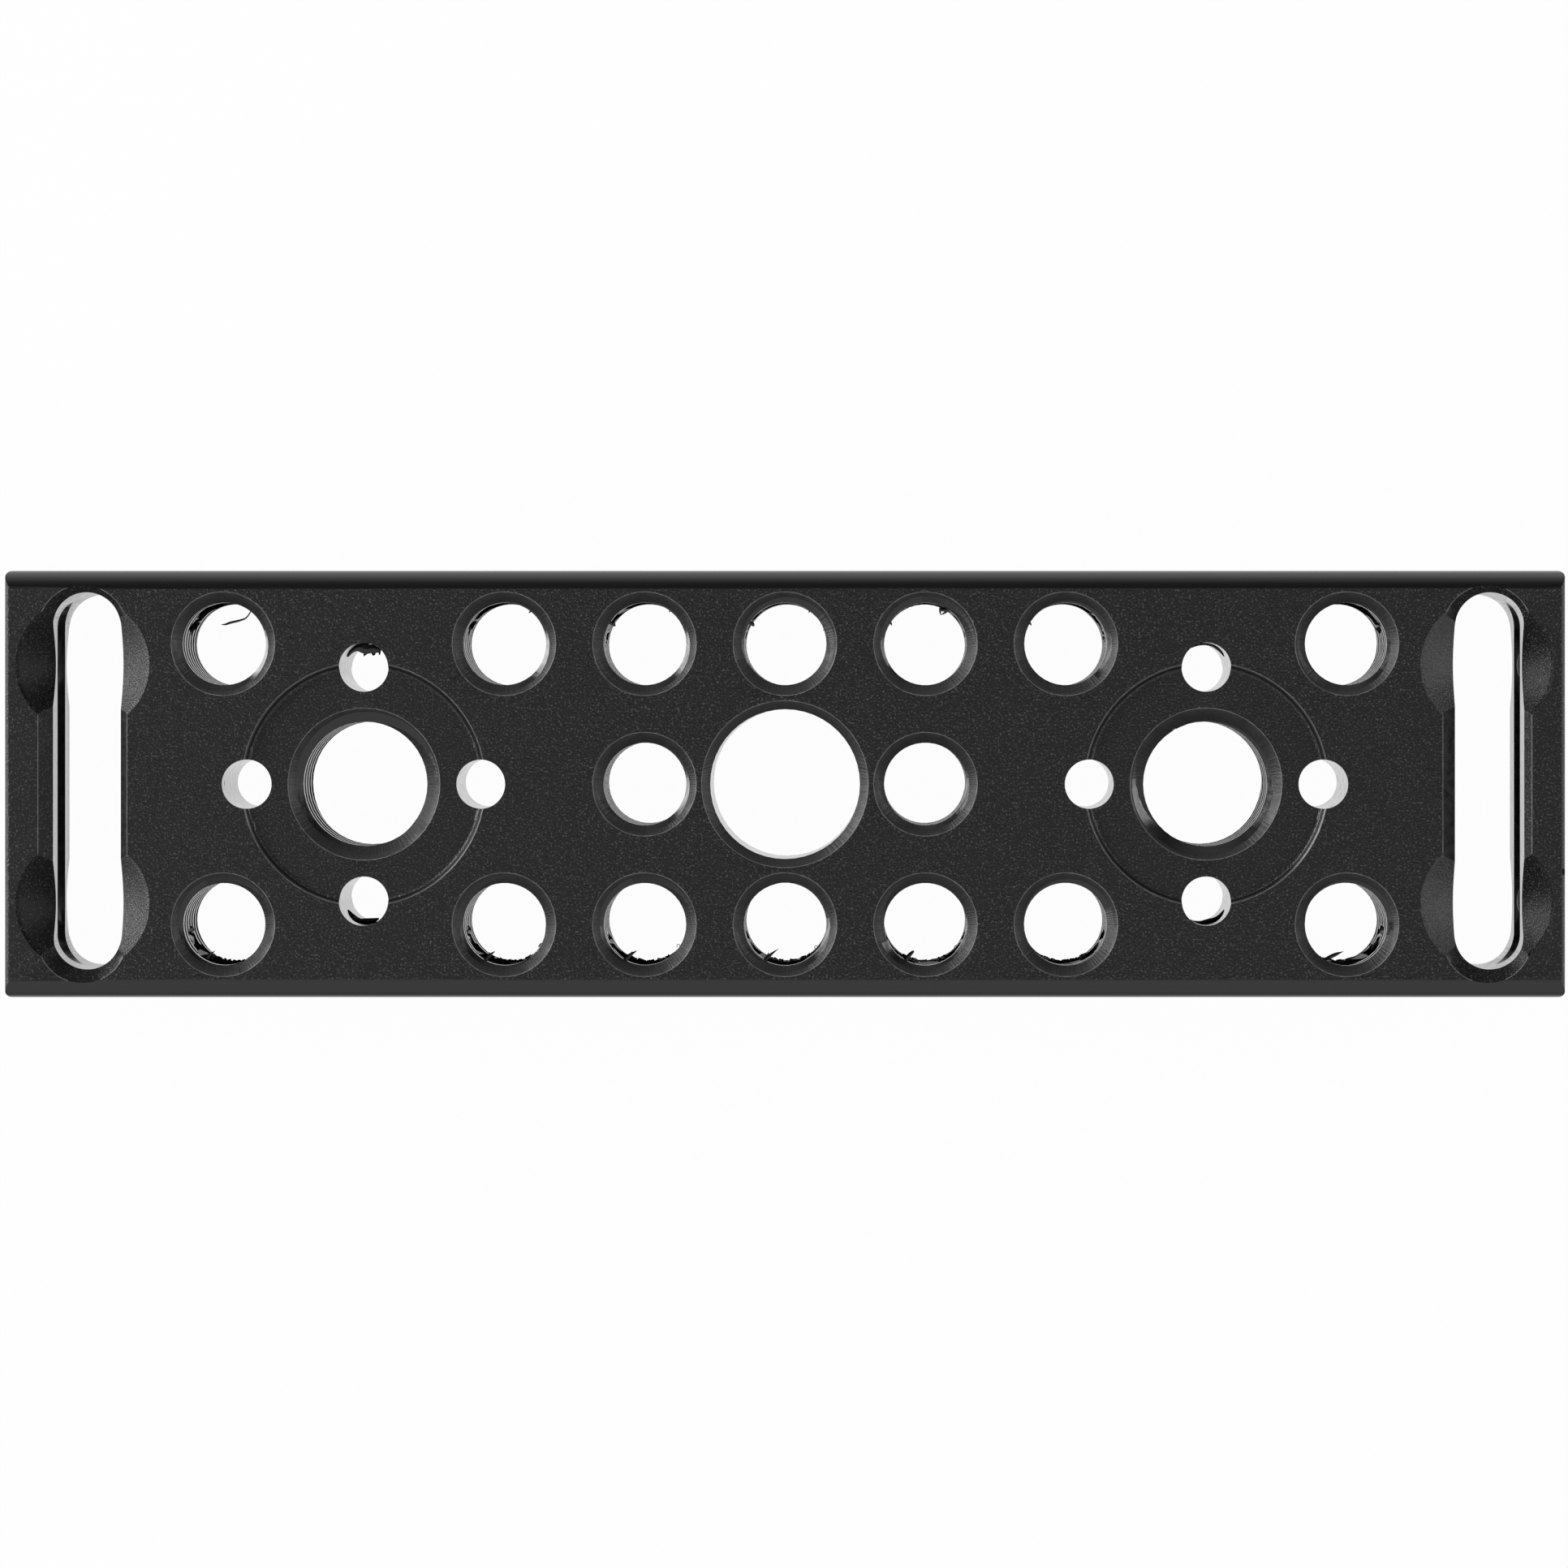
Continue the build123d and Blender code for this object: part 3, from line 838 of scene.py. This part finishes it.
def sweep(shell, path, thick):  # a flat ribbon along (x, y, z, width) points, closed at both ends
    loops = []
    for i, (x, y, z, wide) in enumerate(path):
        before, after = Vector(path[max(i - 1, 0)][:3]), Vector(path[min(i + 1, len(path) - 1)][:3])
        wide = max(wide, burrs["leastWidth"])
        ahead = (after - before).normalized()
        across = ahead.cross(Vector((0, 0, 1))).normalized()
        upward = across.cross(ahead)
        high = min(thick, wide) / 2
        corners = (across * wide / 2, upward * high, -across * wide / 2, -upward * high)
        loops.append([shell.verts.new((Vector((x, y, z)) + c) * mm) for c in corners])
    for here, following in zip(loops, loops[1:]):
        for i in range(4):
            shell.faces.new((here[i], here[(i + 1) % 4], following[(i + 1) % 4], following[i]))
    shell.faces.new(loops[0][::-1])
    shell.faces.new(loops[-1])


def onFrontHole(column, radius, turn, z, wide):  # a point of a tip, from the axis of its hole
    return (column + radius * math.cos(turn), -holes["row"] + radius * math.sin(turn), z, wide)


slivers = bmesh.new()
for height, line in burrs["slivers"]:
    path = [(x, y, height - burrs["droop"] * i, wide) for i, (x, y, wide) in enumerate(line)]
    sweep(slivers, eased(path), burrs["thickness"])
firstTurn, lastTurn = burrs["curlTurns"]
for x, y in burrs["curls"]:
    ring = []
    for k in range(burrs["curlSteps"] + 1):
        a = math.radians(firstTurn + (lastTurn - firstTurn) * k / burrs["curlSteps"])
        ring.append((x + burrs["curlRadius"] * math.cos(a), y + burrs["curlRadius"] * math.sin(a),
                     burrs["curlHeight"] + burrs["curlRise"] * k, burrs["curlWidth"]))
    sweep(slivers, ring, burrs["thickness"])
pick = random.Random(burrs["seed"])
for column in burrs["lowerRow"]:
    for k in range(burrs["teeth"]):
        place = k + pick.random() * burrs["scatter"]
        turn = math.radians(burrs["teethFrom"] + burrs["teethSweep"] * place / burrs["teeth"])
        reach = burrs["leastReach"] + burrs["moreReach"] * pick.random() ** 2
        dx = math.cos(turn) * burrs["holeRadius"]
        lip = middle - math.sqrt(burrs["sideHoleRadius"] ** 2 - dx ** 2)
        bend = turn + math.radians(pick.uniform(*burrs["bend"]))
        wide = burrs["leastRoot"] + burrs["moreRoot"] * pick.random()
        sweep(slivers, [
            onFrontHole(column, burrs["rootRadius"], turn, lip, wide),
            onFrontHole(
                column, burrs["edgeRadius"], turn, lip + burrs["edgeRise"], wide * burrs["narrowing"]),
            onFrontHole(
                column, burrs["holeRadius"] - reach, bend, lip + burrs["tipRise"], burrs["tipWidth"]),
        ], burrs["thickness"])
bmesh.ops.recalc_face_normals(slivers, faces=slivers.faces)
sliverMesh = bpy.data.meshes.new("burrs")
slivers.to_mesh(sliverMesh)
slivers.free()
sliverMesh.materials.append(finishes["tapped"])
burrPiece = newObject("burrs", sliverMesh)
print("burrs", len(sliverMesh.polygons))
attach(burrPiece, "root")


# Table, light and camera

# What the near side of the bar mirrors of the table lies in painted half shade: the table's glow, as glossy
# rays see it, is dimmed towards the front, standing in for a table lit from behind
table = {
    "colour": "#f4f4f4",
    "size": 3.0,            # m
    "drop": 0.02,           # mm that it lies below the bar
    "shown": 0.975,         # share of plain white in what the camera sees of it; the rest takes shadow
    "shade": 0.35,          # how bright the half shade is
    "shadeY": (-30, -15),   # mm from the middle, from full shade to none
}
floorMaterial = emptyMaterial("paleTable")
floorTree = floorMaterial.node_tree
paper = addNode(floorTree, "ShaderNodeBsdfDiffuse", {"Color": toLinear(table["colour"])})
ray = addNode(floorTree, "ShaderNodeLightPath")
seen = addNode(floorTree, "ShaderNodeMath", {
    0: ray.outputs["Is Camera Ray"], 1: ray.outputs["Is Transmission Ray"]}, operation="MAXIMUM").outputs[0]
place = addNode(floorTree, "ShaderNodeTexCoord").outputs["Object"]
spot = addNode(floorTree, "ShaderNodeSeparateXYZ", {0: place})
# painted shade on the table's glow as glossy rays see it, darker towards the front
lit = addNode(floorTree, "ShaderNodeMapRange", {
    "Value": spot.outputs[1], "From Min": table["shadeY"][0] * mm, "From Max": table["shadeY"][1] * mm,
    "To Min": table["shade"], "To Max": 1.0}).outputs[0]
dimmed = addNode(floorTree, "ShaderNodeMath", {0: lit, 1: 1.0}, operation="SUBTRACT").outputs[0]
shine = addNode(floorTree, "ShaderNodeMath", {
    0: ray.outputs["Is Glossy Ray"], 1: dimmed, 2: 1.0}, operation="MULTIPLY_ADD").outputs[0]
glow = addNode(floorTree, "ShaderNodeEmission", {"Color": (1, 1, 1, 1), "Strength": shine})
straight = addNode(floorTree, "ShaderNodeMath", {0: seen, 1: table["shown"]}, operation="MULTIPLY").outputs[0]
share = addNode(floorTree, "ShaderNodeMath", {
    0: straight, 1: ray.outputs["Is Glossy Ray"]}, operation="MAXIMUM")
top = addNode(floorTree, "ShaderNodeMixShader", {
    0: share.outputs[0], 1: paper.outputs[0], 2: glow.outputs[0]})
addNode(floorTree, "ShaderNodeOutputMaterial", {"Surface": top.outputs[0]})

floorMesh = bpy.data.meshes.new("table")
h = table["size"] / 2
floorMesh.from_pydata([(-h, -h, 0), (h, -h, 0), (h, h, 0), (-h, h, 0)], [], [(0, 1, 2, 3)])
floorMesh.materials.append(floorMaterial)
floor = newObject("table", floorMesh)
floor.location.z = -table["drop"] * mm

# A tent of light round the set. Its near half is an even grey; a dark canopy hangs over the far
# half from straight above, where the camera looks in, down to the bright wall at the back.
tent = {
    # how far a direction leans towards the back of the set (-1 to 1) -> brightness
    "sweep": ((-1.0, 0.54), (-0.5, 0.6), (-0.08, 0.57), (0.08, 0.03), (0.47, 0.06), (0.62, 0.11),
              (0.76, 0.24), (0.87, 0.42), (0.954, 0.64), (1.0, 0.95)),
    "sideWalls": 0.5,
    "wallTop": (0.1, 0.5),  # how high a direction looks (0 to 1) where the walls begin to fade and end
    "scale": 2.0,           # a colour ramp stops at 1, so it holds the brightness divided by this
}
world = bpy.data.worlds.new("studioTent")
bpy.context.scene.world = world
world.use_nodes = True
sky = world.node_tree
sky.nodes.clear()
direction = addNode(sky, "ShaderNodeTexCoord").outputs["Generated"]
split = addNode(sky, "ShaderNodeSeparateXYZ", {0: direction})
lean = addNode(sky, "ShaderNodeMapRange", {
    "Value": split.outputs[1], "From Min": -1.0, "From Max": 1.0, "To Min": 0.0, "To Max": 1.0}).outputs[0]
ramp = addNode(sky, "ShaderNodeValToRGB", {0: lean})
stops = ramp.color_ramp.elements
while len(stops) < len(tent["sweep"]):
    stops.new(0.5)
for stop, (towardsBack, brightness) in zip(stops, tent["sweep"]):
    stop.position = (towardsBack + 1) / 2
    stop.color = (brightness / tent["scale"],) * 3 + (1,)
walls = addNode(sky, "ShaderNodeMapRange", {
    "Value": split.outputs[2], "From Min": tent["wallTop"][0], "From Max": tent["wallTop"][1],
    "To Min": tent["sideWalls"] / tent["scale"], "To Max": 0.0}).outputs[0]
inside = addNode(sky, "ShaderNodeMath", {0: ramp.outputs[0], 1: walls}, operation="MAXIMUM").outputs[0]
skyRay = addNode(sky, "ShaderNodeLightPath")
room = addNode(sky, "ShaderNodeBackground", {"Color": inside, "Strength": tent["scale"]})
white = addNode(sky, "ShaderNodeBackground", {"Color": (1, 1, 1, 1), "Strength": 1.0})
shown = addNode(sky, "ShaderNodeMixShader", {
    0: skyRay.outputs["Is Camera Ray"], 1: room.outputs[0], 2: white.outputs[0]})
addNode(sky, "ShaderNodeOutputWorld", {"Surface": shown.outputs[0]})

lamps = {
    # name: (azimuth, elevation, distance in m, width, height, radiance)
    "leftLamp": (159, 21, 0.6, 0.5, 0.2, 9.5),
    "rightLamp": (8, 22, 0.6, 0.3, 0.2, 3.6),
}
for name, (azimuth, elevation, distance, wide, high, radiance) in lamps.items():
    lamp = bpy.data.lights.new(name, "AREA")
    lamp.shape = "RECTANGLE"
    lamp.size = wide
    lamp.size_y = high
    lamp.energy = radiance * math.pi * wide * high
    holder = newObject(name, lamp)
    level = math.cos(math.radians(elevation)) * distance
    holder.location = (
        level * math.cos(math.radians(azimuth)),
        level * math.sin(math.radians(azimuth)),
        math.sin(math.radians(elevation)) * distance)
    holder.rotation_euler = (-holder.location).to_track_quat("-Z", "Y").to_euler()
    holder.visible_camera = False

# straight above, and off to one side: the lens shift brings the bar back to the middle of the picture
view = {"place": (5.9, 5.2, 384.4), "lens": 134.42, "sensor": 36, "shift": (-0.05935, -0.05163)}
camera = bpy.data.cameras.new("photoCamera")
camera.sensor_width = view["sensor"]
camera.sensor_height = view["sensor"]
camera.lens = view["lens"]
camera.clip_start = 0.01
camera.clip_end = 10
cameraHolder = newObject("photoCamera", camera)
cameraHolder.location = Vector(view["place"]) * mm
camera.shift_x, camera.shift_y = view["shift"]
bpy.context.scene.camera = cameraHolder
bpy.context.scene.view_settings.view_transform = "Standard"
print("table, lamps and camera placed")
